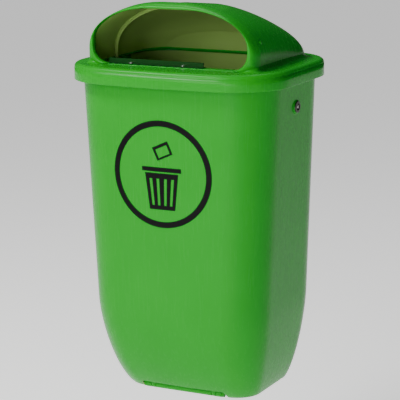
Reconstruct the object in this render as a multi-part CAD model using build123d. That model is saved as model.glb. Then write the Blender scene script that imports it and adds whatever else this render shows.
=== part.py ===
from build123d import *
import math
import os

# Street litter bin hung on a wall or post: moulded body with a drop bottom, rain hood,
# triangular-key lock on the right side. +Z up, front at -Y, millimetres.
# The origin is under the middle of the bin's bounding box.

# driving sizes of the moulded body
WALL = 4.0                 # plastic wall
BODY_TOP = 624.0           # rim of the body
TOP_HALF_W = 199.0         # half width at the rim
LOW_HALF_W = 168.0         # half width the side walls would reach at the floor
TOP_FRONT = -145.0         # front wall at its corners, rim height
LOW_FRONT = -142.0         # the same, carried down to the floor
REAR = 151.0               # flat rear wall
TOP_CROWN = 22.0           # how far the front wall bows out at the rim
LOW_CROWN = 7.0            # the same at the foot
TOP_CORNER = 88.0          # corner radius at the rim
LOW_CORNER = 42.0          # corner radius at the foot
TUCK_H = 174.0             # height over which the walls curve in to the foot
TUCK_DEPTH = 6.0           # how far below the floor the curve would close
TUCK_POWER = 1.57          # fullness of that curve
TUCK_SIDE = 40.0           # how far in the side walls would curve
TUCK_FRONT = 80.0
TUCK_REAR = 32.0
RIM_GAP = 1.5              # between the body's rim and the hood's skirt

# hood
OVERHANG = 16.0            # skirt outside the body's rim
SKIRT_LOW = 597.0
SHELF_TOP = 628.0
HOOD_TOP = 745.0
DOME_FRONT = -126.0
DOME_REAR = 137.0
DOME_HALF_W = 173.0
ARCH_ROUND_W = (0.90, 0.95)   # share of half width in the arch's shoulders, front and rear
ARCH_ROUND_H = (0.80, 0.97)   # share of its height
MOUTH_HALF_W = 157.0
MOUTH_LOW = 630.0
MOUTH_TOP = 734.0
MOUTH_ROUND = (122.0, 62.0)   # half axes of the elliptical upper corners
MOUTH_LOW_R = 30.0
LEDGE_REAR = -98.0         # back edge of the ledge inside the mouth
PLAN_FRONT_R = 10.0        # rounding of the dome in plan, front and rear
PLAN_REAR_R = 62.0
ARCH_LEVEL = 24.0          # depth of the level front arch before the roof falls away
SKIRT_EDGE_R = 7.0
LIP_OUT = 5.0              # rolled lip outside the mouth
LIP_PROUD = 3.5
RECESS_HALF_W = 124.0      # flat recess in the roof
RECESS_FRONT = -104.0
RECESS_REAR = 60.0
RECESS_Z = 734.0
RECESS_R = 18.0
RIB_Y = -28.0              # stiffening rib under the roof
RIB_T = 3.0
RIB_DEPTH = 7.0
CHEEK_X = 164.2
CHEEK_Y = -90.0
CHEEK_Z = 676.0
CHEEK_R = 5.0

# strip on the sill for stubbing out cigarettes
STUB_X = (-142.0, 64.0)
STUB_Y = -110.0
STUB_HALF_D = 7.0
STUB_T = 2.0
STUB_UPSTAND = 7.0         # the strip's folded rear edge
STUB_RIVETS = (-88.0, 20.0)
STUB_RIVET_R = 2.0
TEETH = 13

# bottom flap and its hinge
HINGE_Y = -82.0
HINGE_Z = 6.5
BARREL_R = 6.0
HINGE_ROD_R = 3.0
RUN_GAP = 0.06             # radial running clearance
CUTOUT_HALF_W = 86.0
CUTOUT_TOP = 13.5
FLAP_GAP = 3.0
LUG_X = 64.0
LUG_T = 8.0
BARREL_SPANS = ((-80.0, -69.0), (-59.0, 59.0), (69.0, 80.0))
FLAP_LOW = 1.5             # underside of the flap above the ground
FLAP_RIM = 12.5            # height of its upturned edge
STRIKER_X = 94.0
STRIKER_T = 2.5
STRIKER_HALF_D = 10.0
STRIKER_WINDOW = (18.0, 34.5)   # clears the toe's tip, which swings low on its way in
STRIKER_RIVET_X = 77.0

# lock in the right wall
LOCK_Z = 550.0
LOCK_R = 9.0               # threaded barrel of the lock, 0.1 mm under its hole
LOCK_HOLE_R = 9.1
LOCK_FACE_R = 11.0
LOCK_WELL_R = 6.6
PAD_OUT = 197.4            # outer seat of the lock
PAD_IN = 190.5             # inner seat, under the nut
PAD_R = 13.0
CRANK_R = 10.0             # crank pin's throw
KEY_HALF = 45.0            # the key turns this far each side of level
SPINDLE_R = 4.0
CRANK_X = (174.0, 179.0)
CRANK_PIN_R = 3.0
FORK_X = (165.5, 168.5)
ROD_R = 3.0
ROD_X = 167.0
ROD_Y = 17.0
COLLAR_TOP = 372.0
COLLAR_R = 8.0
SPRING_R = 6.0
SPRING_WIRE_R = 0.8
SPRING_TURNS = 8
GUIDE_HALF_T = 5.0

# latch lever at the foot
LATCH_X = 112.0
LATCH_Y = 72.0
LATCH_Z = 60.0
LATCH_ARM = 22.0
LATCH_T = 4.0
LATCH_DROP = 34.0
PIVOT_R = 3.0
STRIKER_RIVET_Y = (LATCH_Y - 6.0, LATCH_Y + 6.0)
LIFT = CRANK_R * math.sin(math.radians(KEY_HALF))
LATCH_HALF = math.degrees(math.asin(LIFT / LATCH_ARM))
FOOT_X = LATCH_X + LATCH_ARM * math.cos(math.radians(LATCH_HALF))

# wall bracket and its bolts
BACK_PLANE = 183.0
PLATE_T = 3.0
BRACKET_Z = (330.0, 590.0)
BRACKET_HALF_W = 48.0
FLANGE_HALF_W = 75.0
BOLT_X = 60.0
BOLT_Z = (360.0, 560.0)
BOLT_R = 4.0
WALL_HOLE_X = 25.0
WALL_HOLE_Z = (380.0, 540.0)
WALL_HOLE_R = 4.5
BOLT_HEAD_T = 5.3          # M8 hexagon head and nut, 13 mm across flats
BOLT_NUT_T = 6.5
BOLT_FLAT = 6.5
WASHER_R = 8.0
WASHER_T = 1.6

# guides of the release rod: height, rod's x and y there, and the screws' bosses
GUIDES = (
    (430.0, ROD_X, ROD_Y, 180.0),
    (150.0, FOOT_X, LATCH_Y - 8.0, 164.0),
)
GUIDE_SCREW_Z = 16.0       # screws above and below the guide
SCREW_R = 2.0
LATCH_PLATE_X = 153.0      # seat of the latch bracket on its bosses
LATCH_PLATE_Y = 90.0
LATCH_SCREW_Z = (93.0, 117.0)
BOSS_R = 7.0

# hood tabs screwed to the body from inside
TAB_Y = (-50.0, 55.0)
TAB_Z = 606.0
TAB_SEAT = 191.5
TAB_HALF_W = 15.0
TAB_SCREW_R = 2.5
TAB_HEAD_R = 5.0

# printed mark on the front
RING_Z = 437.0
RING_R = 100.0
RING_W = 11.0
PRINT_T = 0.4

LEVELS = [-1.0, 10.0, 23.0, 38.0, 56.0, 76.0, 98.0, 122.0, 148.0, TUCK_H]
SPACE = 300.0              # larger than the bin, for half-space blocks


def along_x(radius, x0, x1, y, z):
    """Cylinder along X from x0 to x1."""
    mid = Pos((x0 + x1) / 2, y, z)
    return mid * Rot(0, 90, 0) * Cylinder(radius, abs(x1 - x0))


def along_y(radius, y0, y1, x, z):
    """Cylinder along Y from y0 to y1."""
    mid = Pos(x, (y0 + y1) / 2, z)
    return mid * Rot(90, 0, 0) * Cylinder(radius, abs(y1 - y0))


def along_z(radius, z0, z1, x, y):
    """Cylinder along Z from z0 to z1."""
    return Pos(x, y, (z0 + z1) / 2) * Cylinder(radius, abs(z1 - z0))


def block(x0, x1, y0, y1, z0, z1):
    """Box given by its faces."""
    mid = Pos((x0 + x1) / 2, (y0 + y1) / 2, (z0 + z1) / 2)
    return mid * Box(abs(x1 - x0), abs(y1 - y0), abs(z1 - z0))


def tuck(z):
    """Share of the inward curve reached at height z: 0 above it, towards 1 at the floor."""
    t = max(0.0, (TUCK_H - z) / (TUCK_H + TUCK_DEPTH))
    return 1 - (1 - t ** TUCK_POWER) ** (1 / TUCK_POWER)


def side_x(z):
    """Half width of the body's outside at height z."""
    u = z / BODY_TOP
    return LOW_HALF_W + (TOP_HALF_W - LOW_HALF_W) * u - TUCK_SIDE * tuck(z)


def crown(z):
    return LOW_CROWN + (TOP_CROWN - LOW_CROWN) * z / BODY_TOP


def plan(z, inset):
    """Horizontal outline of the body at height z, moved inwards by inset."""
    u = z / BODY_TOP
    half = side_x(z) - inset
    front = LOW_FRONT + (TOP_FRONT - LOW_FRONT) * u + TUCK_FRONT * tuck(z) + inset
    rear = REAR - TUCK_REAR * tuck(z) - inset
    blend = 0.35 * (1 - u) + 0.65 * tuck(z)
    corner = TOP_CORNER + (LOW_CORNER - TOP_CORNER) * blend - inset
    bow = crown(z)
    arc = ThreePointArc((-half, front), (0, front - bow), (half, front))
    sides = Polyline((half, front), (half, rear), (-half, rear), (-half, front))
    face = make_face([arc, *sides.edges()])
    face = fillet(face.vertices(), corner)
    return Pos(0, 0, z) * face


def body_form(inset, low, high):
    """Solid of the body's shape, moved inwards by inset, from height low to high."""
    lower = loft([plan(z, inset) for z in LEVELS])
    upper = loft([plan(TUCK_H, inset), plan(BODY_TOP + 1, inset)], ruled=True)
    return (lower + upper) & block(-SPACE, SPACE, -SPACE, SPACE, low, high)


def bosses():
    """Seats and bores of the inner screws: x of the seat, y, z."""
    spots = []
    for z, rod_x, rod_y, seat in GUIDES:
        for dz in (-GUIDE_SCREW_Z, GUIDE_SCREW_Z):
            spots.append((seat, rod_y, z + dz))
    for z in LATCH_SCREW_Z:
        spots.append((LATCH_PLATE_X, LATCH_PLATE_Y, z))
    return spots


def make_body(outer, inner):
    rim_w = OVERHANG - WALL - RIM_GAP
    rim = extrude(plan(BODY_TOP - WALL, -rim_w), WALL)
    cavity = inner - along_x(PAD_R, PAD_IN, SPACE, 0, LOCK_Z)
    for seat, y, z in bosses():
        cavity -= along_x(BOSS_R, seat, SPACE, y, z)
    shell = outer + rim + along_x(PAD_R, PAD_IN - 20, PAD_OUT, 0, LOCK_Z) - cavity
    cutout = block(-CUTOUT_HALF_W, CUTOUT_HALF_W, -140, HINGE_Y + 14, -5, CUTOUT_TOP)
    shell -= cutout
    for side in (-1, 1):
        x = side * LUG_X
        web = block(x - LUG_T / 2, x + LUG_T / 2, -120, HINGE_Y + 6, CUTOUT_TOP, 32) & outer
        eye = along_x(BARREL_R, x - LUG_T / 2, x + LUG_T / 2, HINGE_Y, HINGE_Z)
        neck = block(x - LUG_T / 2, x + LUG_T / 2, HINGE_Y - 6, HINGE_Y + 6, HINGE_Z, 15)
        shell += web + eye + neck
    shell -= along_x(HINGE_ROD_R, -LUG_X - 10, LUG_X + 10, HINGE_Y, HINGE_Z)
    shell -= along_x(LOCK_HOLE_R, PAD_IN - 5, PAD_OUT + 5, 0, LOCK_Z)
    for seat, y, z in bosses():
        shell -= along_x(SCREW_R, seat - 1, seat + 6, y, z)
    for x in (-BOLT_X, BOLT_X):
        for z in BOLT_Z:
            shell -= along_y(BOLT_R, REAR - 10, REAR + 5, x, z)
    for side in (-1, 1):
        for y in TAB_Y:
            shell -= along_x(TAB_SCREW_R, side * (TAB_SEAT - 5), side * (TAB_SEAT + 12), y, TAB_Z)
    return shell


def arch_half_w(y):
    """Half width of the hood's dome at y: rounded towards both ends in plan."""
    half = DOME_HALF_W
    over = y - (DOME_REAR - PLAN_REAR_R)
    if over > 0:
        half -= PLAN_REAR_R - math.sqrt(PLAN_REAR_R ** 2 - over ** 2)
    short = DOME_FRONT + PLAN_FRONT_R - y
    if short > 0:
        half -= PLAN_FRONT_R - math.sqrt(PLAN_FRONT_R ** 2 - short ** 2)
    return half


def arch_height(y):
    """Height of the dome above the shelf at y: level arch, then a quarter ellipse down."""
    full = HOOD_TOP - SHELF_TOP
    start = DOME_FRONT + ARCH_LEVEL
    short = DOME_FRONT + PLAN_FRONT_R - y
    if short > 0:
        return full - PLAN_FRONT_R + math.sqrt(PLAN_FRONT_R ** 2 - short ** 2)
    if y <= start:
        return full
    return full * math.sqrt(1 - ((y - start) / (DOME_REAR + 6 - start)) ** 2)


def arched(half, low, top, round_w, round_h):
    """Flat face with a straight base and sides and elliptical upper corners."""
    spring = top - round_h
    flat = half - round_w
    right = EllipticalCenterArc((flat, spring), round_w, round_h, start_angle=0, arc_size=90)
    left = EllipticalCenterArc((-flat, spring), round_w, round_h, start_angle=90, arc_size=90)
    crest = Line((flat, top), (-flat, top))
    base = Polyline((-half, spring), (-half, low), (half, low), (half, spring))
    return make_face([right, crest, left, *base.edges()])


def arch(y, inset, low):
    """Upright section of the dome at y, moved inwards by inset, down to height low."""
    half = arch_half_w(y) - inset
    top = SHELF_TOP + arch_height(y) - inset
    share = (y - DOME_FRONT) / (DOME_REAR - DOME_FRONT)
    wide = ARCH_ROUND_W[0] + (ARCH_ROUND_W[1] - ARCH_ROUND_W[0]) * share
    high = ARCH_ROUND_H[0] + (ARCH_ROUND_H[1] - ARCH_ROUND_H[0]) * share
    round_w = wide * arch_half_w(y) - inset
    round_h = max(high * arch_height(y) - inset, 1.5)
    return Pos(0, y, 0) * Rot(90, 0, 0) * arched(half, low, top, round_w, round_h)


def dome_form(inset, low):
    """Solid of the dome's shape: sections run from the mouth to the rear."""
    steps = [DOME_FRONT + inset + d for d in (0.3, 2.5, 6.0, 10.5, 16.0, 23.0, 32.0, 44.0)]
    steps += [-64.0, -42.0, -19.0, 4.0, 26.0, 47.0, 66.0, 83.0, 98.0, 111.0, 121.0]
    steps += [DOME_REAR - inset - 8.0, DOME_REAR - inset - 3.0]
    return loft([arch(y, inset, low) for y in steps])


def mouth(grow):
    """Outline of the throw-in opening, made larger by grow, in the hood's front plane."""
    low = MOUTH_LOW - grow
    top = MOUTH_TOP + grow
    half = MOUTH_HALF_W + grow
    face = arched(half, low, top, MOUTH_ROUND[0] + grow, MOUTH_ROUND[1] + grow)
    face = fillet(face.vertices().sort_by(Axis.Y)[:2], MOUTH_LOW_R + grow)
    return Rot(90, 0, 0) * face


def mouth_block(grow, y0, y1):
    return Pos(0, y1, 0) * extrude(mouth(grow), y1 - y0)


def grown_rim(grow, low, high):
    """Prism of the rim's outline, grown outwards, from height low to high."""
    return Pos(0, 0, low - BODY_TOP) * extrude(plan(BODY_TOP, -grow), high - low)


def make_hood(inner_body, deeper_body):
    skirt = grown_rim(OVERHANG, SKIRT_LOW, SHELF_TOP)
    top_edges = skirt.edges().group_by(Axis.Z)[-1]
    skirt = fillet(top_edges, SKIRT_EDGE_R)
    skirt -= grown_rim(OVERHANG - WALL, SKIRT_LOW - 1, SHELF_TOP - WALL)
    dome = dome_form(0.0, SHELF_TOP - WALL)
    hollow = dome_form(WALL, SHELF_TOP - 3 * WALL)
    # shallow flat recess in the roof behind the front arch
    over = HOOD_TOP + 9
    recess = block(-RECESS_HALF_W, RECESS_HALF_W, RECESS_FRONT, RECESS_REAR, RECESS_Z, over)
    recess = fillet(recess.edges().filter_by(Axis.Z), RECESS_R)
    half = RECESS_HALF_W + WALL
    under = block(-half, half, RECESS_FRONT - WALL, RECESS_REAR + 10, RECESS_Z - WALL, over)
    dome -= recess
    hollow -= under
    ledge = block(-SPACE, SPACE, DOME_FRONT - 2, LEDGE_REAR, SHELF_TOP - 5 * WALL, SHELF_TOP)
    hood = skirt + dome - (hollow - ledge)
    # rolled lip around the mouth
    lip = mouth_block(LIP_OUT, DOME_FRONT - LIP_PROUD, DOME_FRONT + 5)
    lip = fillet(lip.edges().group_by(Axis.Y)[0], 3.0)
    hood += lip
    opening = mouth_block(0.0, DOME_FRONT - 20, DOME_FRONT + 20)
    hood -= opening
    # stiffening rib under the roof
    rib = Pos(0, RIB_Y + RIB_T, 0) * extrude(section_at(RIB_Y, 1.5), RIB_T)
    rib -= Pos(0, RIB_Y + RIB_T + 1, 0) * extrude(section_at(RIB_Y, WALL + RIB_DEPTH), RIB_T + 2)
    hood += rib
    # tabs that reach down inside the body
    for side in (-1, 1):
        for y in TAB_Y:
            y0, y1 = y - TAB_HALF_W, y + TAB_HALF_W
            tab = block(side * 182, side * SPACE, y0, y1, TAB_Z - 16, SHELF_TOP - 2)
            tab = tab & (inner_body - deeper_body)
            hood += tab
            hood -= along_x(6.5, side * (TAB_SEAT - 9), side * TAB_SEAT, y, TAB_Z)
            hood -= along_x(TAB_SCREW_R, side * (TAB_SEAT - 9), side * (TAB_SEAT + 9), y, TAB_Z)
    for x in STUB_RIVETS:
        hood -= along_z(STUB_RIVET_R, SHELF_TOP - WALL - 1, SHELF_TOP + 1, x, STUB_Y)
    # moulded dimples on the cheeks
    for side in (-1, 1):
        dimple = Pos(side * CHEEK_X, CHEEK_Y, CHEEK_Z) * Sphere(CHEEK_R)
        hood += dimple
        hood -= along_x(6.0, side * (CHEEK_X - 12), side * (CHEEK_X - 3.5), CHEEK_Y, CHEEK_Z)
    return hood


def section_at(y, inset):
    """The dome's section at y, brought to the plane y = 0."""
    return Pos(0, -y, 0) * arch(y, inset, SHELF_TOP - 2)


def make_hood_screws():
    screws = Part()
    for side in (-1, 1):
        for y in TAB_Y:
            screws += along_x(TAB_HEAD_R, side * (TAB_SEAT - 3.2), side * TAB_SEAT, y, TAB_Z)
            screws += along_x(TAB_SCREW_R, side * TAB_SEAT, side * (TAB_SEAT + 10), y, TAB_Z)
    return screws


def make_stub_plate():
    top = SHELF_TOP + STUB_T
    plate = block(*STUB_X, STUB_Y - STUB_HALF_D, STUB_Y + STUB_HALF_D, SHELF_TOP, top)
    plate = fillet(plate.edges().filter_by(Axis.Z), 5.0)
    margin = 12.0
    pitch = (STUB_X[1] - STUB_X[0] - 2 * margin) / (TEETH - 1)
    for i in range(TEETH):
        plate += along_z(4.0, SHELF_TOP, top, STUB_X[0] + margin + i * pitch, STUB_Y - 6)
    rear = STUB_Y + STUB_HALF_D
    plate += block(STUB_X[0] + 5, STUB_X[1] - 5, rear - STUB_T, rear, SHELF_TOP, top + STUB_UPSTAND)
    for x in STUB_RIVETS:
        plate -= along_z(STUB_RIVET_R, SHELF_TOP - 1, top + 1, x, STUB_Y)
    return plate


def make_stub_rivets():
    rivets = Part()
    top = SHELF_TOP + STUB_T
    under = SHELF_TOP - WALL
    head_t = 1.5
    for x in STUB_RIVETS:
        rivets += along_z(STUB_RIVET_R, under - head_t, top + 1, x, STUB_Y)
        rivets += along_z(4.0, top, top + head_t, x, STUB_Y)
        rivets += along_z(3.5, under - head_t, under, x, STUB_Y)
    return rivets


def make_flap():
    pan = extrude(plan(0.0, WALL + FLAP_GAP), FLAP_RIM)
    pan -= Pos(0, 0, WALL) * extrude(plan(0.0, 2 * WALL + FLAP_GAP), FLAP_RIM)
    flap = Pos(0, 0, FLAP_LOW) * pan
    flap &= block(-SPACE, SPACE, HINGE_Y + 8, SPACE, 0, 40)
    # the barrel that turns on the hinge rod, with a web to the floor
    for x0, x1 in BARREL_SPANS:
        flap += along_x(BARREL_R, x0, x1, HINGE_Y, HINGE_Z)
        flap += block(x0, x1, HINGE_Y, HINGE_Y + 14, FLAP_LOW, FLAP_LOW + WALL)
    for x0, x1 in BARREL_SPANS:
        flap -= along_x(HINGE_ROD_R + RUN_GAP, x0 - 1, x1 + 1, HINGE_Y, HINGE_Z)
    # drain holes
    for x in (-60.0, 60.0):
        for y in (-20.0, 70.0):
            flap -= along_z(4.0, 0, 8, x, y)
    for y in STRIKER_RIVET_Y:
        flap -= along_z(SCREW_R, 0, 8, STRIKER_RIVET_X, y)
    return flap


def make_hinge_rod():
    half = CUTOUT_HALF_W - 2.0
    return along_x(HINGE_ROD_R, -half, half, HINGE_Y, HINGE_Z)


def make_rod_caps():
    caps = Part()
    for side in (-1, 1):
        cap = along_x(5.5, side * 80.5, side * 85.0, HINGE_Y, HINGE_Z)
        caps += cap - along_x(HINGE_ROD_R, side * 79, side * (CUTOUT_HALF_W - 2), HINGE_Y, HINGE_Z)
    return caps


def make_striker():
    base = FLAP_LOW + WALL
    y0, y1 = LATCH_Y - STRIKER_HALF_D, LATCH_Y + STRIKER_HALF_D
    foot = block(70, STRIKER_X, y0, y1, base, base + STRIKER_T)
    blade = block(STRIKER_X - STRIKER_T, STRIKER_X, y0, y1, base, 42)
    window = block(STRIKER_X - 9, STRIKER_X + 9, LATCH_Y - 6, LATCH_Y + 6, *STRIKER_WINDOW)
    striker = foot + blade - window
    for y in STRIKER_RIVET_Y:
        striker -= along_z(SCREW_R, 5, 9, STRIKER_RIVET_X, y)
    return striker


def make_striker_rivets():
    rivets = Part()
    top = FLAP_LOW + WALL + STRIKER_T
    head_r = 3.8
    for y in STRIKER_RIVET_Y:
        rivets += along_z(SCREW_R, FLAP_LOW - 0.5, top + 1, STRIKER_RIVET_X, y)
        rivets += along_z(head_r, top, top + 1.6, STRIKER_RIVET_X, y)
        rivets += along_z(head_r, FLAP_LOW - 1.1, FLAP_LOW, STRIKER_RIVET_X, y)
    return rivets


def make_lock_housing():
    housing = along_x(LOCK_FACE_R, PAD_OUT, PAD_OUT + 2.2, 0, LOCK_Z)
    housing += along_x(LOCK_R, PAD_OUT - 16.4, PAD_OUT, 0, LOCK_Z)
    rim = housing.edges().group_by(Axis.X)[-1]
    housing = fillet(rim, 1.0)
    housing -= along_x(LOCK_WELL_R, PAD_IN + 0.5, PAD_OUT + 4, 0, LOCK_Z)
    housing -= along_x(SPINDLE_R + RUN_GAP, PAD_OUT - 18, PAD_OUT, 0, LOCK_Z)
    return housing


def make_lock_spindle():
    shaft = along_x(SPINDLE_R, CRANK_X[0], PAD_IN + 0.8, 0, LOCK_Z)
    collar = along_x(6.2, PAD_IN + 0.8, PAD_IN + 2.6, 0, LOCK_Z)
    corner = RegularPolygon(4.6, 3)
    key = Pos(PAD_IN + 2.6, 0, LOCK_Z) * Rot(0, 90, 0) * extrude(corner, 6.0)
    spindle = shaft + collar + key
    spindle -= along_x(SCREW_R, CRANK_X[0] - 1, CRANK_X[0] + 10, 0, LOCK_Z)
    return turned(spindle)


def turned(part):
    """The lock's moving parts are drawn with the crank level; at rest the key is up."""
    swing = Pos(0, 0, LOCK_Z) * Rot(KEY_HALF, 0, 0) * Pos(0, 0, -LOCK_Z)
    return swing * part


def make_lock_nut():
    hexagon = RegularPolygon(12.0 / math.cos(math.pi / 6), 6)
    nut = Pos(PAD_IN - 5, 0, LOCK_Z) * Rot(0, 90, 0) * extrude(hexagon, 5.0)
    return nut - along_x(LOCK_R, PAD_IN - 6, PAD_IN + 1, 0, LOCK_Z)


def make_crank():
    hub = along_x(8.0, CRANK_X[0], CRANK_X[1], 0, LOCK_Z)
    end = along_x(5.0, CRANK_X[0], CRANK_X[1], CRANK_R, LOCK_Z)
    arm = block(CRANK_X[0], CRANK_X[1], 0, CRANK_R, LOCK_Z - 5, LOCK_Z + 5)
    crank = hub + end + arm
    crank -= along_x(SPINDLE_R, CRANK_X[0] - 1, CRANK_X[1] + 1, 0, LOCK_Z)
    crank -= along_x(CRANK_PIN_R, CRANK_X[0] - 1, CRANK_X[1] + 1, CRANK_R, LOCK_Z)
    return turned(crank)


def make_crank_pin():
    return turned(along_x(CRANK_PIN_R, FORK_X[0] - 2, CRANK_X[1], CRANK_R, LOCK_Z))


def make_crank_screw():
    head = along_x(5.5, CRANK_X[0] - 2.4, CRANK_X[0], 0, LOCK_Z)
    shank = along_x(SCREW_R, CRANK_X[0] - 1, CRANK_X[0] + 9, 0, LOCK_Z)
    screw = head + shank
    screw -= block(CRANK_X[0] - 3, CRANK_X[0] - 1.4, -5, 5, LOCK_Z - 0.6, LOCK_Z + 0.6)
    return turned(screw)


def make_fork():
    level = LOCK_Z + LIFT
    half = CRANK_PIN_R + 0.6
    plate = block(FORK_X[0], FORK_X[1], 4.6, ROD_Y + 4, level - 9, level + 9)
    slot = block(FORK_X[0] - 1, FORK_X[1] + 1, 0, 14.2, level - half, level + half)
    return plate - slot


def make_release_rod():
    top = LOCK_Z + LIFT - 9
    low_y = LATCH_Y - 8.0
    foot_z = LATCH_Z + LIFT
    spine = FilletPolyline(
        (ROD_X, ROD_Y, top),
        (ROD_X, ROD_Y, 330),
        (FOOT_X, low_y, 210),
        (FOOT_X, low_y, foot_z),
        (FOOT_X, LATCH_Y + LATCH_T / 2 + 1.5, foot_z),
        radius=5.0,
    )
    start = Plane(origin=(ROD_X, ROD_Y, top), z_dir=(0, 0, -1))
    return sweep(start * Circle(ROD_R), path=spine)


def make_rod_collar():
    z = COLLAR_TOP
    collar = along_z(COLLAR_R, z - 5, z, ROD_X, ROD_Y)
    return collar - along_z(ROD_R, z - 6, z + 1, ROD_X, ROD_Y)


def make_rod_spring():
    length = GUIDES[0][0] - GUIDE_HALF_T - COLLAR_TOP
    wire = SPRING_WIRE_R
    pitch = (length - 2 * wire) / SPRING_TURNS
    path = Helix(pitch, length - 2 * wire, SPRING_R)
    start = path @ 0
    coil = sweep(Plane(origin=start, z_dir=path % 0) * Circle(wire), path=path)
    return Pos(ROD_X, ROD_Y, COLLAR_TOP + wire) * coil


def make_guide(z, rod_x, rod_y, seat):
    flange = block(seat - 3, seat, rod_y - 8, rod_y + 8, z - 24, z + 24)
    low, high = z - GUIDE_HALF_T, z + GUIDE_HALF_T
    arm = block(rod_x - 7, seat - 3, rod_y - 8, rod_y + 8, low, high)
    arm = fillet(arm.edges().filter_by(Axis.Z).group_by(Axis.X)[0], 6.5)
    guide = flange + arm
    guide -= along_z(ROD_R + RUN_GAP, z - 6, z + 6, rod_x, rod_y)
    for dz in (-GUIDE_SCREW_Z, GUIDE_SCREW_Z):
        guide -= along_x(SCREW_R, seat - 5, seat + 1, rod_y, z + dz)
    return guide


def inner_screw(seat, y, z):
    """Pan-head screw driven outwards into a boss; seat is the fixed plate's inner face."""
    head = along_x(4.0, seat - 2.6, seat, y, z)
    return head + along_x(SCREW_R, seat, seat + 8.5, y, z)


def make_guide_screws():
    screws = Part()
    for z, rod_x, rod_y, seat in GUIDES:
        for dz in (-GUIDE_SCREW_Z, GUIDE_SCREW_Z):
            screws += inner_screw(seat - 3, rod_y, z + dz)
    return screws


def make_latch_lever():
    """Drawn latched with its toe level, then swung to the released pose."""
    pivot = Pos(LATCH_X, 0, LATCH_Z)
    y0 = LATCH_Y - LATCH_T / 2
    y1 = LATCH_Y + LATCH_T / 2
    reach = LATCH_ARM + 7.0
    arm = block(0, reach, y0, y1, -7, 7)
    arm = fillet(arm.edges().filter_by(Axis.Y).group_by(Axis.X)[-1], 5.0)
    half = ROD_R + 0.5
    low = FOOT_X - LATCH_X - 0.8
    slot = block(low, LATCH_ARM + 0.8, y0 - 1, y1 + 1, -half, half)
    slot += along_y(half, y0 - 1, y1 + 1, low, 0)
    slot += along_y(half, y0 - 1, y1 + 1, LATCH_ARM + 0.8, 0)
    arm = Rot(0, LATCH_HALF, 0) * (arm - slot)
    lever = arm + along_y(8.0, y0, y1, 0, 0)
    lever += block(-5, 5, y0, y1, -LATCH_DROP, 0)
    lever += block(-28, 0, y0, y1, -LATCH_DROP, -LATCH_DROP + 7)
    lever -= along_y(PIVOT_R + RUN_GAP, y0 - 1, y1 + 1, 0, 0)
    return pivot * Rot(0, -2 * LATCH_HALF, 0) * lever


def make_latch_bracket():
    y0 = LATCH_Y + LATCH_T / 2 + 3.5
    seat = LATCH_PLATE_X
    outline = Polyline(
        (LATCH_X - 8, LATCH_Z + 6), (LATCH_X, LATCH_Z - 8), (LATCH_X + 9, LATCH_Z - 2),
        (seat, 84), (seat, 126), (seat - 8, 126), close=True,
    )
    web = Pos(0, y0 + 3, 0) * Rot(90, 0, 0) * extrude(make_face(outline.edges()), 3.0)
    flange = block(seat - 3, seat, y0, LATCH_PLATE_Y + 8, 84, 126)
    bracket = web + flange
    bracket -= along_y(PIVOT_R, y0 - 1, y0 + 4, LATCH_X, LATCH_Z)
    for z in LATCH_SCREW_Z:
        bracket -= along_x(SCREW_R, seat - 4, seat + 1, LATCH_PLATE_Y, z)
    return bracket


def make_latch_screws():
    screws = Part()
    for z in LATCH_SCREW_Z:
        screws += inner_screw(LATCH_PLATE_X - 3, LATCH_PLATE_Y, z)
    return screws


def make_latch_pivot():
    y0 = LATCH_Y - LATCH_T / 2 - 0.3
    y1 = LATCH_Y + LATCH_T / 2 + 7.5
    return along_y(PIVOT_R, y0, y1, LATCH_X, LATCH_Z) + along_y(5.5, y0 - 2.2, y0, LATCH_X, LATCH_Z)


def make_latch_spacer():
    y0 = LATCH_Y + LATCH_T / 2 + 0.3
    y1 = LATCH_Y + LATCH_T / 2 + 3.5
    return along_y(5.5, y0, y1, LATCH_X, LATCH_Z) - along_y(PIVOT_R, y0 - 1, y1 + 1, LATCH_X, LATCH_Z)


def make_wall_bracket():
    z0, z1 = BRACKET_Z
    web = block(-BRACKET_HALF_W, BRACKET_HALF_W, BACK_PLANE - PLATE_T, BACK_PLANE, z0, z1)
    for side in (-1, 1):
        inner_x = side * (BRACKET_HALF_W - PLATE_T)
        web += block(inner_x, side * BRACKET_HALF_W, REAR, BACK_PLANE, z0, z1)
        web += block(inner_x, side * FLANGE_HALF_W, REAR, REAR + PLATE_T, z0, z1)
    for x in (-BOLT_X, BOLT_X):
        for z in BOLT_Z:
            web -= along_y(BOLT_R, REAR - 1, REAR + 5, x, z)
    for x in (-WALL_HOLE_X, WALL_HOLE_X):
        for z in WALL_HOLE_Z:
            web -= along_y(WALL_HOLE_R, BACK_PLANE - 5, BACK_PLANE + 1, x, z)
    return web


def make_inner_plate():
    y1 = REAR - WALL
    plate = block(-FLANGE_HALF_W, FLANGE_HALF_W, y1 - PLATE_T, y1, BOLT_Z[0] - 20, BOLT_Z[1] + 20)
    plate = fillet(plate.edges().filter_by(Axis.Y), 8.0)
    for x in (-BOLT_X, BOLT_X):
        for z in BOLT_Z:
            plate -= along_y(BOLT_R, y1 - 5, y1 + 1, x, z)
    return plate


def hexagon_y(y0, y1, x, z):
    """Hexagon of the bolt head or nut, along Y."""
    hexagon = RegularPolygon(BOLT_FLAT / math.cos(math.pi / 6), 6)
    return Pos(x, y1, z) * Rot(90, 0, 0) * extrude(hexagon, y1 - y0)


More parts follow.
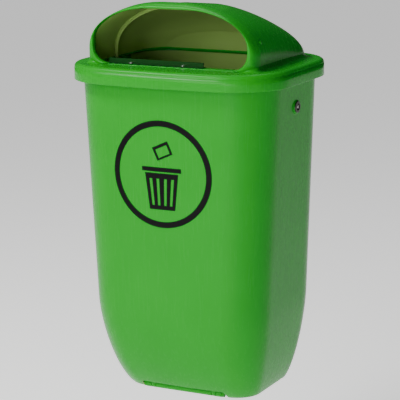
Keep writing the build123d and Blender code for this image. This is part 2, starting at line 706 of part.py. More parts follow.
def make_bracket_hardware():
    bolts = Part()
    washers = Part()
    nuts = Part()
    out = REAR + PLATE_T
    inside = REAR - WALL - PLATE_T
    under_head = out + WASHER_T
    for x in (-BOLT_X, BOLT_X):
        for z in BOLT_Z:
            head = hexagon_y(under_head, under_head + BOLT_HEAD_T, x, z)
            bolts += head + along_y(BOLT_R, inside - WASHER_T - 9, under_head + 1, x, z)
            for y0 in (out, inside - WASHER_T):
                ring = along_y(WASHER_R, y0, y0 + WASHER_T, x, z)
                washers += ring - along_y(BOLT_R, y0 - 1, y0 + WASHER_T + 1, x, z)
            y1 = inside - WASHER_T
            nut = hexagon_y(y1 - BOLT_NUT_T, y1, x, z)
            nuts += nut - along_y(BOLT_R, y1 - 8, y1 + 1, x, z)
    return bolts, washers, nuts


def make_pictogram(outer):
    """Printed ring with a litter basket and a falling sheet, a thin skin on the front."""
    ring = Circle(RING_R) - Circle(RING_R - RING_W)
    basket = make_face(
        Polyline((-34, 2), (34, 2), (26, -66), (-26, -66), close=True).edges()
    )
    for x in (-20.0, -7.0, 7.0, 20.0):
        top = x * 1.12
        gap = Polyline(
            (top - 3, -8), (top + 3, -8), (x * 0.9 + 2.5, -58), (x * 0.9 - 2.5, -58), close=True
        )
        basket -= make_face(gap.edges())
    brim = Pos(0, 9) * Rectangle(80, 8)
    sheet = Pos(3, 44) * Rot(0, 0, 24) * (Rectangle(34, 26) - Pos(0, -1) * Rectangle(25, 17))
    marks = ring + basket + brim + sheet
    stamp = Pos(0, -60, RING_Z) * Rot(90, 0, 0) * extrude(marks, 140)
    skin = front_skin(outer)
    return stamp & skin


def front_skin(outer):
    """Thin layer on the front wall around the print."""
    grown = loft([plan(TUCK_H, -PRINT_T), plan(BODY_TOP, -PRINT_T)], ruled=True)
    window = block(-130, 130, -SPACE, -100, RING_Z - 110, RING_Z + 110)
    return (grown & window) - outer


def main_parts():
    outer = body_form(0.0, 0.0, BODY_TOP)
    inner = body_form(WALL, -1.0, BODY_TOP + 1)
    deeper = body_form(2 * WALL, -1.0, BODY_TOP + 1)
    bolts, washers, nuts = make_bracket_hardware()
    return {
        "body": make_body(outer, inner),
        "hood": make_hood(inner, deeper),
        "hood_screws": make_hood_screws(),
        "pictogram": make_pictogram(outer),
        "stub_plate": make_stub_plate(),
        "stub_plate_rivets": make_stub_rivets(),
        "bottom_flap": make_flap(),
        "flap_hinge_rod": make_hinge_rod(),
        "hinge_rod_caps": make_rod_caps(),
        "flap_striker": make_striker(),
        "striker_rivets": make_striker_rivets(),
        "lock_housing": make_lock_housing(),
        "lock_spindle": make_lock_spindle(),
        "lock_nut": make_lock_nut(),
        "lock_crank": make_crank(),
        "crank_pin": make_crank_pin(),
        "crank_screw": make_crank_screw(),
        "rod_fork": make_fork(),
        "release_rod": make_release_rod(),
        "rod_collar": make_rod_collar(),
        "rod_spring": make_rod_spring(),
        "upper_rod_guide": make_guide(*GUIDES[0]),
        "lower_rod_guide": make_guide(*GUIDES[1]),
        "guide_screws": make_guide_screws(),
        "latch_lever": make_latch_lever(),
        "latch_bracket": make_latch_bracket(),
        "latch_bracket_screws": make_latch_screws(),
        "latch_pivot_pin": make_latch_pivot(),
        "latch_spacer": make_latch_spacer(),
        "wall_bracket": make_wall_bracket(),
        "inner_plate": make_inner_plate(),
        "bracket_bolts": bolts,
        "bracket_washers": washers,
        "bracket_nuts": nuts,
    }


os.makedirs("parts", exist_ok=True)
for name, part in main_parts().items():
    export_step(part, f"parts/{name}.step")
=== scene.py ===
import math

import bpy
import numpy as np
from mathutils import Matrix, Vector


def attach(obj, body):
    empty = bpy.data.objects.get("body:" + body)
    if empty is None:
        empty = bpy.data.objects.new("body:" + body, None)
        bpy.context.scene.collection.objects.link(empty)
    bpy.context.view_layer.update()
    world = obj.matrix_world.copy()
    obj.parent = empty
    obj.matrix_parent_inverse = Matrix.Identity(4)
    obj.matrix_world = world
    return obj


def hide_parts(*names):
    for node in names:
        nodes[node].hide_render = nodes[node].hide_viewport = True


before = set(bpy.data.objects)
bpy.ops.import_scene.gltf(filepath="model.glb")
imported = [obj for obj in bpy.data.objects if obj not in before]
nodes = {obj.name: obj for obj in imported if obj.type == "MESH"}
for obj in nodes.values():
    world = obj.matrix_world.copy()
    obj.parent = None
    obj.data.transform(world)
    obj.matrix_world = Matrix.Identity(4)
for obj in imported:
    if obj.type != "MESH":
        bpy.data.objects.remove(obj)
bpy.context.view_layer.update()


# Body: one injection-moulded shell of green polyethylene, 4 mm thick, tapering down and
# curving in to the foot. The front is bowed in plan, the rear is flat for the bracket, a rim
# turns out under the hood, and a low cut-out in front shows the flap's hinge. All sizes are
# in millimetres; add_piece() turns them to the frame's metres.
wall = 4.0
rim_z = 624.0
foot_half, rim_half = 168.0, 199.0
foot_bow, rim_bow = 7.0, 22.0
foot_corner, rim_corner = 42.0, 88.0
front_y, front_lean, rear_y = -142.0, 3.0, 151.0
side_tuck, front_tuck, rear_tuck = 40.0, 80.0, 32.0
tuck_top, tuck_run, tuck_power = 174.0, 180.0, 1.57
taper_share = 0.35
front_cols, near_cols, side_cols, far_cols, back_cols = 48, 16, 18, 16, 34


def tuck(z):
    """Share of the inward curve at height z: a superellipse quarter below 174 mm."""
    t = np.clip((tuck_top - z) / tuck_run, 0.0, None)
    return 1 - (1 - t**tuck_power) ** (1 / tuck_power)


def closed_round(front_line, near, near_end, half, rear, far_r):
    """Closed plan outline from its front line and its near right corner: straight side, far
    corner of radius far_r, rear line, and the left as the right's mirror."""
    s = np.linspace(near_end, rear - far_r, side_cols)[1:]
    side = np.column_stack([np.full(len(s), half), s])
    t = np.linspace(0, math.pi / 2, far_cols)[1:]
    far = np.column_stack([half - far_r + far_r * np.cos(t), rear - far_r + far_r * np.sin(t)])
    s = np.linspace(half - far_r, far_r - half, back_cols)[1:]
    back = np.column_stack([s, np.full(len(s), rear)])
    left = np.vstack([near, side, far])[::-1][1:] * np.array([-1, 1])
    return np.vstack([front_line, near, side, far, back, left])


def body_outline(z, inset):
    """Closed outline at height z: a front arc of rise bow, tangent corner arcs, straight
    sides and rear. The half width falls from rim to foot, less the tuck."""
    u = z / rim_z
    k = tuck(z)
    half = foot_half + (rim_half - foot_half) * u - side_tuck * k - inset
    front = front_y - front_lean * u + front_tuck * k + inset
    rear = rear_y - rear_tuck * k - inset
    sharper = taper_share * (1 - u) + (1 - taper_share) * k
    corner = rim_corner - (rim_corner - foot_corner) * sharper - inset
    bow = foot_bow + (rim_bow - foot_bow) * u
    big = (half**2 + bow**2) / (2 * bow)
    centre = front - bow + big
    corner_y = centre - math.sqrt((big - corner) ** 2 - (half - corner) ** 2)
    phi = math.atan2(half - corner, centre - corner_y)
    t = np.linspace(-phi, phi, front_cols)
    front_arc = np.column_stack([big * np.sin(t), centre - big * np.cos(t)])
    t = np.linspace(phi, math.pi / 2, near_cols)[1:]
    near = np.column_stack([half - corner + corner * np.sin(t), corner_y - corner * np.cos(t)])
    flat = closed_round(front_arc, near, corner_y, half, rear, corner)
    return np.column_stack([flat, np.full(len(flat), z)])


def ease(share):
    """Smooth step from 0 to 1: three times the square less twice the cube."""
    return 3 * share**2 - 2 * share**3


# cut-out at the foot: 180 mm wide and 13.5 mm high, with its ends eased over 5 mm
cut_half, cut_end, cut_high = 90.0, 5.0, 13.5
blend_z, level_step = 60.0, 2.0
foot = body_outline(0.0, 0.0)
in_cutout = (foot[:, 1] < -30) & (np.abs(foot[:, 0]) < cut_half + 20)
edge = np.clip((cut_half - np.abs(foot[:, 0])) / cut_end, 0.0, 1.0)
lip_z = np.where(in_cutout, cut_high * ease(edge), 0.0)
low_levels = np.arange(0.0, blend_z + level_step, level_step)
low_tables = {
    inset: np.stack([body_outline(z, inset) for z in low_levels]) for inset in (0.0, wall)
}


def body_row(z, inset):
    """Outline at height z. Below 60 mm each column is raised in proportion from the cut-out's
    edge, and its point is read between the two nearest levels of a table."""
    if z >= blend_z:
        return body_outline(z, inset)
    lifted = lip_z + z * (blend_z - lip_z) / blend_z
    table = low_tables[inset]
    below = np.clip((lifted / level_step).astype(int), 0, len(low_levels) - 2)
    part = (lifted / level_step - below)[:, None]
    cols = np.arange(table.shape[1])
    return table[below, cols] * (1 - part) + table[below + 1, cols] * part


heights = [0.6, 2, 5, 9, 14, 20, 27, 35, 44, 54, 66, 80, 96, 114, 134, 154, 174, 190]
heights += list(np.linspace(220, 600, 14)) + [616, 619.4]
rows = [body_row(0.0, 0.0)]
rows += [body_row(z, 0.0) for z in heights]
# the rim turns out by 10.5 mm and is 4 mm thick, with softened edges
for grow, z in ((0.6, 620.0), (9.8, 620.0), (10.5, 620.6), (10.5, 623.4), (9.9, 624.0)):
    rim = body_outline(rim_z, -grow)
    rim[:, 2] = z
    rows.append(rim)
rows.append(body_outline(rim_z, wall - 0.7))
rim = body_outline(rim_z, wall)
rim[:, 2] = 623.3
rows.append(rim)
inner_start = len(rows)
rows += [body_row(z, wall) for z in heights[::-1]]
rows.append(body_row(0.0, wall))


def quads_of(rows, cols, wrap_cols=False, wrap_rows=False, flip=False):
    """Quads of a rows x cols grid as an index array; a wrapped direction closes on itself."""
    i, j = np.meshgrid(
        np.arange(rows if wrap_rows else rows - 1),
        np.arange(cols if wrap_cols else cols - 1),
        indexing="ij",
    )
    i2, j2 = (i + 1) % rows, (j + 1) % cols
    quads = np.stack([i * cols + j, i * cols + j2, i2 * cols + j2, i2 * cols + j], -1)
    quads = quads.reshape(-1, 4)
    return quads[:, ::-1] if flip else quads


# a shell is (points, quads, index of finish per quad): 0 for the green, 1 for the inside painted
# with shade
columns = len(rows[0])
# the inner rows take the inside's painted shade
painted_shade_quads = np.repeat(np.arange(len(rows)) >= inner_start, columns).astype(int)
body_shells = [(np.stack(rows), quads_of(len(rows), columns, True, True), painted_shade_quads)]


def round_bar(radii, spots, sides=40):
    """Turned shape along x: one circle of points per radius and (x, y, z) centre."""
    t = np.linspace(0, 2 * math.pi, sides, endpoint=False)
    circle = np.column_stack([0 * t, np.cos(t), np.sin(t)])
    rings = [np.asarray(c, float) + r * circle for r, c in zip(radii, spots)]
    return np.stack(rings), quads_of(len(rings), sides, True)


# flat seat of the lock on the right wall, a ring round the lock's hole
lock_z = 550.0
seat_radii = (9.1, 9.1, 13.0, 13.0, 12.4, 9.1)
seat_x = (197.4, 190.5, 190.5, 196.6, 197.4, 197.4)
body_shells.append(round_bar(seat_radii, [(x, 0, lock_z) for x in seat_x]))
# bosses inside the right wall for the screws of the rod guides and the latch bracket
boss_r, boss_edge, boss_sink = 7.0, 0.6, 1.5
boss_seats = [(180, 17, 414), (180, 17, 446), (164, 64, 134), (164, 64, 166)]
boss_seats += [(153, 90, 93), (153, 90, 117)]
right_cols = slice(front_cols, front_cols + near_cols + side_cols + far_cols - 3)
for x, y, z in boss_seats:
    right_wall = body_outline(z, wall / 2)[right_cols]
    reach = np.interp(y, right_wall[:, 1], right_wall[:, 0])
    spots = [(x, y, z), (x, y, z), (x + boss_edge, y, z), (reach - boss_sink, y, z)]
    body_shells.append(round_bar((0.0, boss_r - boss_edge, boss_r, boss_r), spots))
# lugs for the hinge rod: an eye of 6 mm round the rod's centre, on a neck under the front
# wall, closed at both ends by rings drawn in to a point
hinge_y, hinge_z, eye_r, lug_half = -82.0, 6.5, 6.0, 4.0
for side in (-64.0, 64.0):
    t = np.linspace(-0.5 * math.pi, 0.5 * math.pi, 14)[:7]
    eye = np.column_stack([hinge_y - eye_r * np.cos(t), hinge_z + eye_r * np.sin(t)])
    inner_neck = [[-76, 32], [-76, 6.5], [-77.8, 2.3]]
    outer_neck = [[-88, 13.5], [-96, 18], [-98, 32]]
    lug = np.vstack([inner_neck, eye, outer_neck])
    point = np.repeat(lug.mean(0)[None], len(lug), 0)
    rings = []
    for x, ring in ((-lug_half, point), (-lug_half, lug), (lug_half, lug), (lug_half, point)):
        rings.append(np.column_stack([np.full(len(ring), side + x), ring]))
    body_shells.append((np.stack(rings), quads_of(4, len(lug), True, flip=True)))


def linear(code):
    """Linear RGBA of an sRGB hex colour."""
    channels = [int(code[i : i + 2], 16) / 255 for i in (1, 3, 5)]
    curve = [c / 12.92 if c <= 0.04045 else ((c + 0.055) / 1.055) ** 2.4 for c in channels]
    return (*curve, 1.0)


def shade(tree, kind, links=(), **settings):
    """Adds a shader node, sets its properties or inputs, and links (input, source) pairs."""
    made = tree.nodes.new(kind)
    for key, value in settings.items():
        if key in made.inputs:
            made.inputs[key].default_value = value
        elif key.replace("_", " ") in made.inputs:
            made.inputs[key.replace("_", " ")].default_value = value
        else:
            setattr(made, key, value)
    for socket, source in links:
        tree.links.new(source, made.inputs[socket])
    return made


# Injection-moulded polyethylene: a satin skin from a finely etched mould, slightly
# translucent, which gives a soft highlight and a faint unevenness of tone. Patterns per
# metre: clouds of 110 mm, a grain of 1.1 mm, and upright scuffs of 4.5 x 70 mm.
cloud_scale, grain_scale, scuff_scale = 9.0, 900.0, (220.0, 220.0, 14.0)


def moulded_plastic(name, colour, roughness):
    """Two tones mixed by the clouds, roughness that follows the scuffs, relief from the
    grain."""
    made = bpy.data.materials.new(name)
    made.use_nodes = True
    tree = made.node_tree
    skin = tree.nodes["Principled BSDF"]
    place = shade(tree, "ShaderNodeTexCoord")
    cloud = shade(
        tree, "ShaderNodeTexNoise", [("Vector", place.outputs["Object"])],
        Scale=cloud_scale, Detail=4.0, Roughness=0.55,
    )
    grain = shade(
        tree, "ShaderNodeTexNoise", [("Vector", place.outputs["Object"])],
        Scale=grain_scale, Detail=2.0, Roughness=0.5,
    )
    stretch = shade(
        tree, "ShaderNodeMapping", [("Vector", place.outputs["Object"])], Scale=scuff_scale
    )
    scuff = shade(
        tree, "ShaderNodeTexNoise", [("Vector", stretch.outputs["Vector"])],
        Scale=1.0, Detail=3.0, Roughness=0.6,
    )
    tone = shade(tree, "ShaderNodeMix", [("Factor", cloud.outputs["Fac"])], data_type="RGBA")
    tone.inputs["A"].default_value = linear(colour[0])
    tone.inputs["B"].default_value = linear(colour[1])
    gloss = shade(
        tree, "ShaderNodeMapRange", [("Value", scuff.outputs["Fac"])],
        From_Min=0.35, From_Max=0.75, To_Min=roughness - 0.005, To_Max=roughness + 0.01,
    )
    relief = shade(
        tree, "ShaderNodeBump", [("Height", grain.outputs["Fac"])],
        Strength=0.04, Distance=0.00012,
    )
    tree.links.new(tone.outputs["Result"], skin.inputs["Base Color"])
    tree.links.new(gloss.outputs["Result"], skin.inputs["Roughness"])
    tree.links.new(relief.outputs["Normal"], skin.inputs["Normal"])
    skin.inputs["IOR"].default_value = 1.53
    skin.inputs["Specular IOR Level"].default_value = 0.09
    skin.inputs["Subsurface Weight"].default_value = 0.06
    skin.inputs["Subsurface Radius"].default_value = (0.0012, 0.0030, 0.0008)
    return made


green = moulded_plastic("moulded_green_polyethylene", ("#15861a", "#1b9021"), 0.27)
# The same plastic inside, painted a pale olive: painted shade and light that stand in for the dim
# light inside the hood and body.
painted_shade_inside = moulded_plastic("green_polyethylene_painted_shade_inside", ("#7f9f50", "#90b25c"), 0.5)


def add_piece(name, shells, body, replaced):
    """One smooth object from shells, riding on a CAD body in place of CAD nodes."""
    points, quads, finish, start = [], [], [], 0
    for verts, faces, *index in shells:
        finish.append(np.broadcast_to(index[0] if index else 0, len(faces)))
        flat = np.asarray(verts, float).reshape(-1, 3)
        points.append(flat / 1000.0)
        quads.append(np.asarray(faces) + start)
        start += len(flat)
    points = np.vstack(points).astype(np.float32)
    quads = np.vstack(quads).astype(np.int32)
    mesh = bpy.data.meshes.new(name)
    mesh.vertices.add(len(points))
    mesh.vertices.foreach_set("co", points.ravel())
    mesh.loops.add(quads.size)
    mesh.loops.foreach_set("vertex_index", quads.ravel())
    mesh.polygons.add(len(quads))
    mesh.polygons.foreach_set("loop_start", np.arange(0, quads.size, 4, dtype=np.int32))
    mesh.polygons.foreach_set("use_smooth", np.ones(len(quads), bool))
    mesh.polygons.foreach_set("material_index", np.concatenate(finish).astype(np.int32))
    mesh.update(calc_edges=True)
    mesh.validate()
    piece = bpy.data.objects.new(name, mesh)
    bpy.context.scene.collection.objects.link(piece)
    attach(piece, body)
    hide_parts(*replaced)
    return piece


body = add_piece("body_moulding", body_shells, "bin", ["body"])
body.data.materials.append(green)
body.data.materials.append(painted_shade_inside)


# Hood: one moulding of the same polyethylene, seated on the body's rim. A skirt hangs over
# the rim, a shelf runs round at its top, and the arched roof rises from the shelf, open at
# the front. Tabs inside the body take the screws that hold it.
shelf_z, arch_low = 628.0, 626.0
arch_w, arch_bend_y, arch_bend_r = 173.0, 75.0, 62.0
arch_rise, level_y, fall_run = 117.0, -102.0, 245.0
foot_cols, post_cols, shoulder_cols, crest_cols = 9, 8, 44, 12


def arch_half(y):
    """Half width of the roof at y: 173 mm, rounded in at the rear by a 62 mm arc."""
    over = max(0.0, y - arch_bend_y)
    return arch_w - (arch_bend_r - math.sqrt(max(arch_bend_r**2 - over**2, 0.0)))


def arch_top(y):
    """Height of the roof at y: level for the first 24 mm, then a quarter ellipse down."""
    run = max(0.0, y - level_y) / fall_run
    return shelf_z + arch_rise * math.sqrt(max(1 - run**2, 0.0))


def open_outline(half, low, top, round_w, round_h, low_r):
    """Outline of an arch from its lower right, over the top, to its lower left, (x, z): a
    foot arc or line, a straight side, an elliptical shoulder, the crest, and its mirror."""
    spring = top - round_h
    t = np.linspace(-math.pi / 2, 0, foot_cols)
    foot_arc = np.column_stack([half - low_r + low_r * np.cos(t), low + low_r + low_r * np.sin(t)])
    if low_r == 0:
        rise = np.linspace(low, low * 0.65 + spring * 0.35, foot_cols)
        foot_arc = np.column_stack([np.full(foot_cols, half), rise])
    s = np.linspace(foot_arc[-1, 1], spring, post_cols)[1:]
    side = np.column_stack([np.full(len(s), half), s])
    t = np.linspace(0, math.pi / 2, shoulder_cols)[1:]
    corner = np.column_stack([half - round_w + round_w * np.cos(t), spring + round_h * np.sin(t)])
    right = np.vstack([foot_arc, side, corner])
    s = np.linspace(half - round_w, round_w - half, crest_cols)[1:-1]
    crest = np.column_stack([s, np.full(len(s), top)])
    return np.vstack([right, crest, right[::-1] * np.array([-1, 1])])


def roof_outline(y, inset):
    """Section of the roof at y: its shoulders grow from 90 % of the half width and 80 % of
    the height at the front to 95 % and 97 % at the rear."""
    full = arch_top(y) - shelf_z
    share = (y + 126.0) / 263.0
    wide = (0.90 + 0.05 * share) * arch_half(y) - inset
    high = max((0.80 + 0.17 * share) * full - inset, 1.5)
    return open_outline(arch_half(y) - inset, arch_low, shelf_z + full - inset, wide, high, 0)


def upright(flat, y):
    """An (x, z) outline stood up at y."""
    return np.column_stack([flat[:, 0], np.full(len(flat), y), flat[:, 1]])


def shrink_to(hub, row, share, y):
    """A row drawn in towards a hub by a share, and set at y."""
    ring = hub + (row - hub) * share
    ring[:, 1] = y
    return ring


mouth = open_outline(157.0, 630.0, 734.0, 122.0, 62.0, 30.0)
# lip and frame: from the mouth's edge the section swells forward and runs back into the
# roof; each row is (share of the way out to the roof's outline, y)
frame_rows = [
    (0.0, -119.0), (0.0, -124.0), (0.015, -126.6), (0.06, -128.6), (0.13, -129.5),
    (0.24, -129.6), (0.38, -128.9), (0.53, -127.1), (0.68, -124.0), (0.81, -119.6),
    (0.91, -114.0), (0.975, -107.5),
]
roof_y = [-105.5, -103.5, -101.5, -98, -92, -82, -70, -57, -43, -28, -13, 3, 19, 35, 50, 64]
roof_y += [76, 87, 97, 106, 114, 121, 127, 131.5, 134.5]
recess_z, recess_half, recess_ease, recess_y = 733.0, 116.0, 5.0, -105.5
outer_rows = []
for share, y in frame_rows:
    outer_rows.append(upright(mouth * (1 - share) + roof_outline(level_y, 0.0) * share, y))
for y in roof_y:
    spot = upright(roof_outline(y, 0.0), y)
    # flat recess behind the front arch
    across = np.clip((recess_half - np.abs(spot[:, 0])) / recess_ease, 0, 1)
    along = np.clip((y - recess_y) / 2.5, 0, 1)
    spot[:, 2] -= np.clip(spot[:, 2] - recess_z, 0, None) * ease(across) * ease(along)
    outer_rows.append(spot)
# the rear closes to a point on the shelf
last, hub = outer_rows[-1], np.array([0.0, 137.0, arch_low])
for share, y in ((0.975, 136.3), (0.93, 137.0), (0.5, 137.0), (0.0, 137.0)):
    outer_rows.append(shrink_to(hub, last, share, y))
inner_rows = []
for share, y in ((0.1, -118.2), (0.35, -117.6), (0.7, -116.8), (0.93, -113.5), (1.0, -107.0)):
    inner_rows.append(upright(mouth * (1 - share) + roof_outline(level_y, wall) * share, y))
ceiling_half, ceiling_z = 128.0, 730.0
for y in roof_y[3:-2]:
    spot = upright(roof_outline(y, wall), y)
    under = (np.abs(spot[:, 0]) < ceiling_half) & (y > -100)
    spot[:, 2] = np.where(under, np.minimum(spot[:, 2], ceiling_z), spot[:, 2])
    inner_rows.append(spot)
last, hub = inner_rows[-1], np.array([0.0, 0.0, 624.0])
for share, y in ((0.96, 129.6), (0.5, 130.4), (0.0, 130.4)):
    inner_rows.append(shrink_to(hub, last, share, y))
dome = np.stack(inner_rows[::-1] + outer_rows)
# quads of the inside, all but the three rows nearest the mouth, take the inside's painted shade
painted_shade_quads = np.repeat(np.arange(len(dome) - 1) < len(inner_rows) - 3, dome.shape[1] - 1)
hood_shells = [(dome, quads_of(len(dome), dome.shape[1], flip=True), painted_shade_quads.astype(int))]


def ring_outline(grow):
    """The roof's footprint grown outwards: a rectangle with 16 mm front and 60 mm rear
    corner arcs, in step with the body outline's columns."""
    half, front, rear = arch_w + grow, -126.0 - grow, 134.5 + grow
    near_r, far_r = 16.0 + grow, 60.0 + grow
    s = np.linspace(near_r - half, half - near_r, front_cols)
    front_line = np.column_stack([s, np.full(len(s), front)])
    t = np.linspace(0, math.pi / 2, near_cols)[1:]
    near = np.column_stack(
        [half - near_r + near_r * np.sin(t), front + near_r - near_r * np.cos(t)]
    )
    return closed_round(front_line, near, front + near_r, half, rear, far_r)


def skirt_row(grow, z):
    """The body's rim outline grown outwards and set at z."""
    row = body_outline(rim_z, -grow)
    row[:, 2] = z
    return row


# skirt: up the inside, round the 4 mm lower edge, up the outside, and over an 8 mm shoulder
skirt_grow, shoulder_r, skirt_low = 16.0, 8.0, 597.0
skirt = [skirt_row(12.0, 624.0), skirt_row(12.0, 598.0), skirt_row(12.5, 597.2)]
skirt += [skirt_row(13.2, skirt_low), skirt_row(15.2, skirt_low), skirt_row(15.8, 597.3)]
skirt += [skirt_row(skirt_grow, 598.0), skirt_row(skirt_grow, 610.0)]
skirt.append(skirt_row(skirt_grow, 620.0))
for t in np.linspace(0, math.pi / 2, 9):
    grow = skirt_grow - shoulder_r + shoulder_r * math.cos(t)
    skirt.append(skirt_row(grow, 620.0 + shoulder_r * math.sin(t)))
edge_row = skirt[-1]
# cove: a 9 mm fillet from the shelf up to the roof, nearly gone along the sill
cove_r = 9.0
base, wide = ring_outline(0.0), ring_outline(cove_r)
near_sill = np.clip((np.abs(base[:, 0]) - 128) / 26.0, 0, 1)
cove = np.where(base[:, 1] < -105, 0.8 + 8.2 * near_sill**2, cove_r)
cove_rows = []
for t in np.linspace(0, math.pi / 2, 9):
    flat = base + (wide - base) * (cove * (1 - math.sin(t)) / cove_r)[:, None]
    cove_rows.append(np.column_stack([flat, shelf_z + cove * (1 - math.cos(t))]))
for share in (0.06, 0.35, 0.65, 0.94):
    skirt.append(edge_row * (1 - share) + cove_rows[0] * share)
skirt += cove_rows
# the ring's inner edge is buried in the roof's wall and takes in the roof's lower edge
flat = ring_outline(-0.3)
skirt.append(np.column_stack([flat, cove_rows[-1][:, 2]]))
skirt.append(np.column_stack([flat, np.full(len(flat), shelf_z + 0.5)]))
flat = ring_outline(-5.0)
skirt.append(np.column_stack([flat, np.full(len(flat), shelf_z)]))
skirt.append(np.column_stack([flat, np.full(len(flat), 624.0)]))
hood_shells.append((np.stack(skirt), quads_of(len(skirt), columns, True, True)))


def slab(x0, x1, y0, y1, z0, z1, corner, soft=0.6, steps=6):
    """Flat plate with rounded plan corners and softened edges, closed above and below."""
    t = np.linspace(0, math.pi / 2, steps)
    levels = ((None, z0), (soft, z0), (0, z0 + soft), (0, z1 - soft), (soft, z1), (None, z1))
    rings = []
    for inset, z in levels:
        shrink = soft if inset is None else inset
        r = max(corner - shrink, 0.2)
        spots = []
        for sx, sy, a in ((1, -1, 0), (1, 1, 1), (-1, 1, 2), (-1, -1, 3)):
            cx = (x1 - shrink - r) if sx > 0 else (x0 + shrink + r)
            cy = (y1 - shrink - r) if sy > 0 else (y0 + shrink + r)
            turn = t - math.pi / 2 + a * math.pi / 2
            spots.append(np.column_stack([cx + r * np.cos(turn), cy + r * np.sin(turn)]))
        ring = np.vstack(spots)
        if inset is None:
            ring = ring * 0 + np.array([(x0 + x1) / 2, (y0 + y1) / 2])
        rings.append(np.column_stack([ring, np.full(len(ring), z)]))
    return np.stack(rings), quads_of(len(rings), 4 * steps, True)


# sill between the skirt and the mouth
hood_shells.append(slab(-166, 166, -125.5, -98, 624, shelf_z, 10))
# stiffening rib under the roof, 3 mm thick and 7 mm deep
rib_y, rib_rows = -26.5, []
for inset, off in ((3.0, -1.5), (10.4, -1.5), (11.0, -1.0), (11.0, 1.0), (10.4, 1.5), (3.0, 1.5)):
    spot = upright(roof_outline(rib_y, inset), rib_y + off)
    spot[:, 2] = np.minimum(spot[:, 2], 734.0 - inset)
    rib_rows.append(spot)
# the rib takes the inside's painted shade too
hood_shells.append((np.stack(rib_rows), quads_of(6, dome.shape[1], wrap_rows=True), 1))
# dimple with a small boss on each cheek; the left one is the right one's mirror
dimple_radii = (0.0, 1.6, 2.4, 2.8, 4.6, 5.4)
dimple_x = (168.0, 168.0, 167.4, 166.4, 167.0, 165.6)
for side in (-1, 1):
    spots = [(side * x, -90, 676) for x in dimple_x]
    points, quads = round_bar(dimple_radii, spots, 28)
    hood_shells.append((points, quads if side < 0 else quads[:, ::-1]))
# tabs that hang inside the body, screwed to its wall
for side in (-1, 1):
    for y in (-50.0, 55.0):
        lo, hi = sorted((side * 188.6, side * 193.0))
        hood_shells.append(slab(lo, hi, y - 15, y + 15, 590, 625, 1.5))
hood = add_piece("hood_moulding", hood_shells, "bin", ["hood"])
hood.data.materials.append(green)
hood.data.materials.append(painted_shade_inside)


# Bottom flap: a moulded tray of the body's green plastic on a stainless hinge rod, with
# pressed-on end caps. These pieces and all those below keep their CAD shape.
def dress(made, *names):
    """Gives CAD nodes a material in every slot."""
    for name in names:
        slots = nodes[name].material_slots
        if not slots:
            nodes[name].data.materials.append(made)
        for slot in slots:
            slot.material = made


def metal(name, colour, roughness, mottle, streak=(1.0, 1.0, 1.0)):
    """Bare or plated metal: two tones mixed by a mottle of about `mottle` mm, with the
    roughness following a fine directional line, which also gives the relief."""
    made = bpy.data.materials.new(name)
    made.use_nodes = True
    tree = made.node_tree
    skin = tree.nodes["Principled BSDF"]
    place = shade(tree, "ShaderNodeTexCoord")
    patch = shade(
        tree, "ShaderNodeTexVoronoi", [("Vector", place.outputs["Object"])],
        Scale=1000.0 / mottle,
    )
    drawn = shade(
        tree, "ShaderNodeMapping", [("Vector", place.outputs["Object"])],
        Scale=tuple(700.0 * s for s in streak),
    )
    line = shade(
        tree, "ShaderNodeTexNoise", [("Vector", drawn.outputs["Vector"])],
        Scale=1.0, Detail=3.0,
    )
    tone = shade(tree, "ShaderNodeMix", [("Factor", patch.outputs["Color"])], data_type="RGBA")
    tone.inputs["A"].default_value = linear(colour[0])
    tone.inputs["B"].default_value = linear(colour[1])
    gloss = shade(
        tree, "ShaderNodeMapRange", [("Value", line.outputs["Fac"])],
        From_Min=0.3, From_Max=0.7, To_Min=roughness - 0.06, To_Max=roughness + 0.08,
    )
    relief = shade(
        tree, "ShaderNodeBump", [("Height", line.outputs["Fac"])],
        Strength=0.15, Distance=0.0001,
    )
    tree.links.new(tone.outputs["Result"], skin.inputs["Base Color"])
    tree.links.new(gloss.outputs["Result"], skin.inputs["Roughness"])
    tree.links.new(relief.outputs["Normal"], skin.inputs["Normal"])
    skin.inputs["Metallic"].default_value = 1.0
    return made


dress(green, "bottom_flap", "hinge_rod_caps")
# Stainless wire and screws: drawn or turned, satin, with lines along the length.
stainless = metal("satin_stainless_steel", ("#b9bab8", "#c8c9c6"), 0.28, 6.0, (1, 1, 0.2))
dress(stainless, "flap_hinge_rod", "striker_rivets", "hood_screws")

# Printed mark on the front: satin black screen ink, laid on a little unevenly so that the
# gloss varies. It shows a litter basket in a ring.
ink = moulded_plastic("screen_printed_black_ink", ("#030303", "#060606"), 0.5)
dress(ink, "pictogram")

# Stubbing strip on the sill: 2 mm steel, powder coated green, which gives a fine, even gloss. Its
# near-black tone is painted shade, standing in for the shade the strip lies in behind the sill.
# Two stainless rivets hold it.
painted_shade_coat = moulded_plastic("dark_green_steel_painted_shade", ("#0c3510", "#124016"), 0.35)
dress(painted_shade_coat, "stub_plate")
dress(stainless, "stub_plate_rivets")

# Release gear and latch: pressed and turned steel, zinc plated, which gives a slightly
# blue, cloudy satin. The guides and the lever's spacer are moulded grey nylon, matt.
plated = metal("zinc_plated_steel", ("#a9b0b6", "#c3c8cb"), 0.34, 3.0)
dress(plated, "release_rod", "rod_collar", "rod_fork", "lock_crank", "crank_pin")
dress(plated, "latch_lever", "latch_bracket", "latch_pivot_pin", "flap_striker")
dress(stainless, "rod_spring", "guide_screws", "crank_screw", "latch_bracket_screws")
nylon = moulded_plastic("moulded_grey_nylon", ("#55565a", "#606165"), 0.5)
dress(nylon, "upper_rod_guide", "lower_rod_guide", "latch_spacer")

# Lock in the right wall: zinc die casting with a dull nickel plate. Its housing is painted dark:
# painted shade that stands in for the shade in the lock's recess.
cast = metal("plated_zinc_die_casting", ("#a7a69f", "#bdbcb5"), 0.26, 1.5)
dress(cast, "lock_spindle", "lock_nut")
painted_shade_zinc = metal("zinc_die_casting_painted_shade", ("#3c3d38", "#55564f"), 0.4, 1.5)
dress(painted_shade_zinc, "lock_housing")

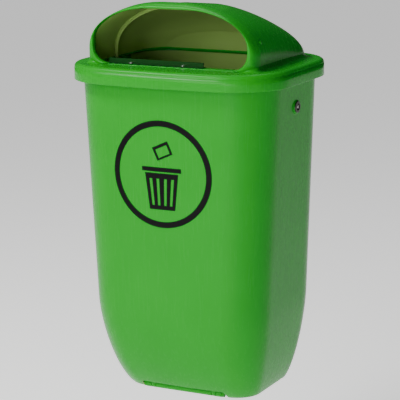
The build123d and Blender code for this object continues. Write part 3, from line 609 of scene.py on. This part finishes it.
# Wall bracket: folded steel, hot-dip galvanised, so a spangle of 10 mm grains shows. The
# inner plate and the bolts that clamp it through the rear wall are zinc plated.
galvanised = metal("hot_dip_galvanised_steel", ("#8f969b", "#b4babd"), 0.42, 10.0)
dress(galvanised, "wall_bracket")
dress(plated, "inner_plate", "bracket_bolts", "bracket_washers", "bracket_nuts")


# Plain pale floor of matt paper, wide enough to fill the view from every side. The bin
# hangs on a wall or post, so the floor lies 0.25 m below, clear of the bottom flap's swing.
floor_z, floor_radii, floor_sides = -0.25, np.array([0.0, 1.0, 4.0, 12.0, 40.0]), 64
turn = np.linspace(0, 2 * math.pi, floor_sides, endpoint=False)
ring = np.stack([np.cos(turn), np.sin(turn), 0 * turn], -1)
points = (floor_radii[:, None, None] * ring + np.array([0.0, 0.0, floor_z])).reshape(-1, 3)
floor_mesh = bpy.data.meshes.new("floor")
floor_quads = quads_of(len(floor_radii), floor_sides, True, flip=True)
floor_mesh.from_pydata(points.tolist(), [], floor_quads.tolist())
floor = bpy.data.objects.new("floor", floor_mesh)
bpy.context.scene.collection.objects.link(floor)
paper = bpy.data.materials.new("matt_white_paper")
paper.use_nodes = True
sheet = paper.node_tree.nodes["Principled BSDF"]
sheet.inputs["Base Color"].default_value = linear("#f4f4f2")
sheet.inputs["Roughness"].default_value = 0.9
sheet.inputs["Emission Color"].default_value = (1, 1, 1, 1)
sheet.inputs["Emission Strength"].default_value = 0.7
floor.data.materials.append(paper)


# Soft studio light: a large key from the front left and above, a low fill from the front
# right, a strip for the highlight along the hood's edge, a soft top light, and a pale
# surround that is brightest above and to the left. Places in metres, power in watts.
def softbox(name, place, aim, width, height, watts):
    """A rectangular area light at a place, turned to face its aim."""
    light = bpy.data.lights.new(name, "AREA")
    light.shape = "RECTANGLE"
    light.size = width
    light.size_y = height
    light.energy = watts
    lamp = bpy.data.objects.new(name, light)
    lamp.location = place
    lamp.rotation_euler = (Vector(aim) - Vector(place)).to_track_quat("-Z", "Y").to_euler()
    bpy.context.scene.collection.objects.link(lamp)


softbox("key", (-0.7, -3.3, 1.9), (0, 0, 0.4), 1.7, 1.7, 71)
softbox("low_front", (0.5, -3.0, 0.7), (0, 0, 0.6), 1.2, 0.8, 30)
softbox("edge", (-1.1, -1.3, 2.6), (0, -0.15, 0.63), 1.3, 0.14, 70)
softbox("top", (-0.4, 0.8, 2.8), (0, 0, 0.6), 1.4, 1.4, 22)
surround = bpy.data.worlds.new("surround")
surround.use_nodes = True
sky = surround.node_tree
toward = shade(sky, "ShaderNodeTexCoord")
slope = shade(
    sky, "ShaderNodeVectorMath", [(0, toward.outputs["Generated"])], operation="DOT_PRODUCT"
)
slope.inputs[1].default_value = (-0.5, 0.35, 0.8)
glow = shade(
    sky, "ShaderNodeMapRange", [("Value", slope.outputs["Value"])],
    From_Min=-0.6, From_Max=0.75, To_Min=0.3, To_Max=1.0,
)
sky.links.new(glow.outputs["Result"], sky.nodes["Background"].inputs["Strength"])
bpy.context.scene.world = surround

# Camera: low three-quarter view from the front right, 3.4 m away, aimed at half height.
azimuth, elevation, roll = math.radians(27.076), math.radians(12.132), math.radians(-0.622)
distance = 3.3994
aim = np.array([0.0, 0.0, 0.372])
back = np.array(
    [
        math.sin(azimuth) * math.cos(elevation),
        -math.cos(azimuth) * math.cos(elevation),
        math.sin(elevation),
    ]
)
right = np.array([math.cos(azimuth), math.sin(azimuth), 0.0])
up = np.cross(back, right)
level = math.cos(roll) * right + math.sin(roll) * up
upright_axis = -math.sin(roll) * right + math.cos(roll) * up
eye_at = aim + back * distance
axes = np.stack([level, upright_axis, back], 1)
lens = bpy.data.cameras.new("camera")
lens.sensor_width = 36.0
lens.lens = 160.8
lens.shift_x = -0.0054
lens.shift_y = -0.0186
lens.clip_end = 100.0
camera = bpy.data.objects.new("camera", lens)
camera.matrix_world = Matrix([[*row, spot] for row, spot in zip(axes, eye_at)] + [[0, 0, 0, 1]])
bpy.context.scene.collection.objects.link(camera)
bpy.context.scene.camera = camera
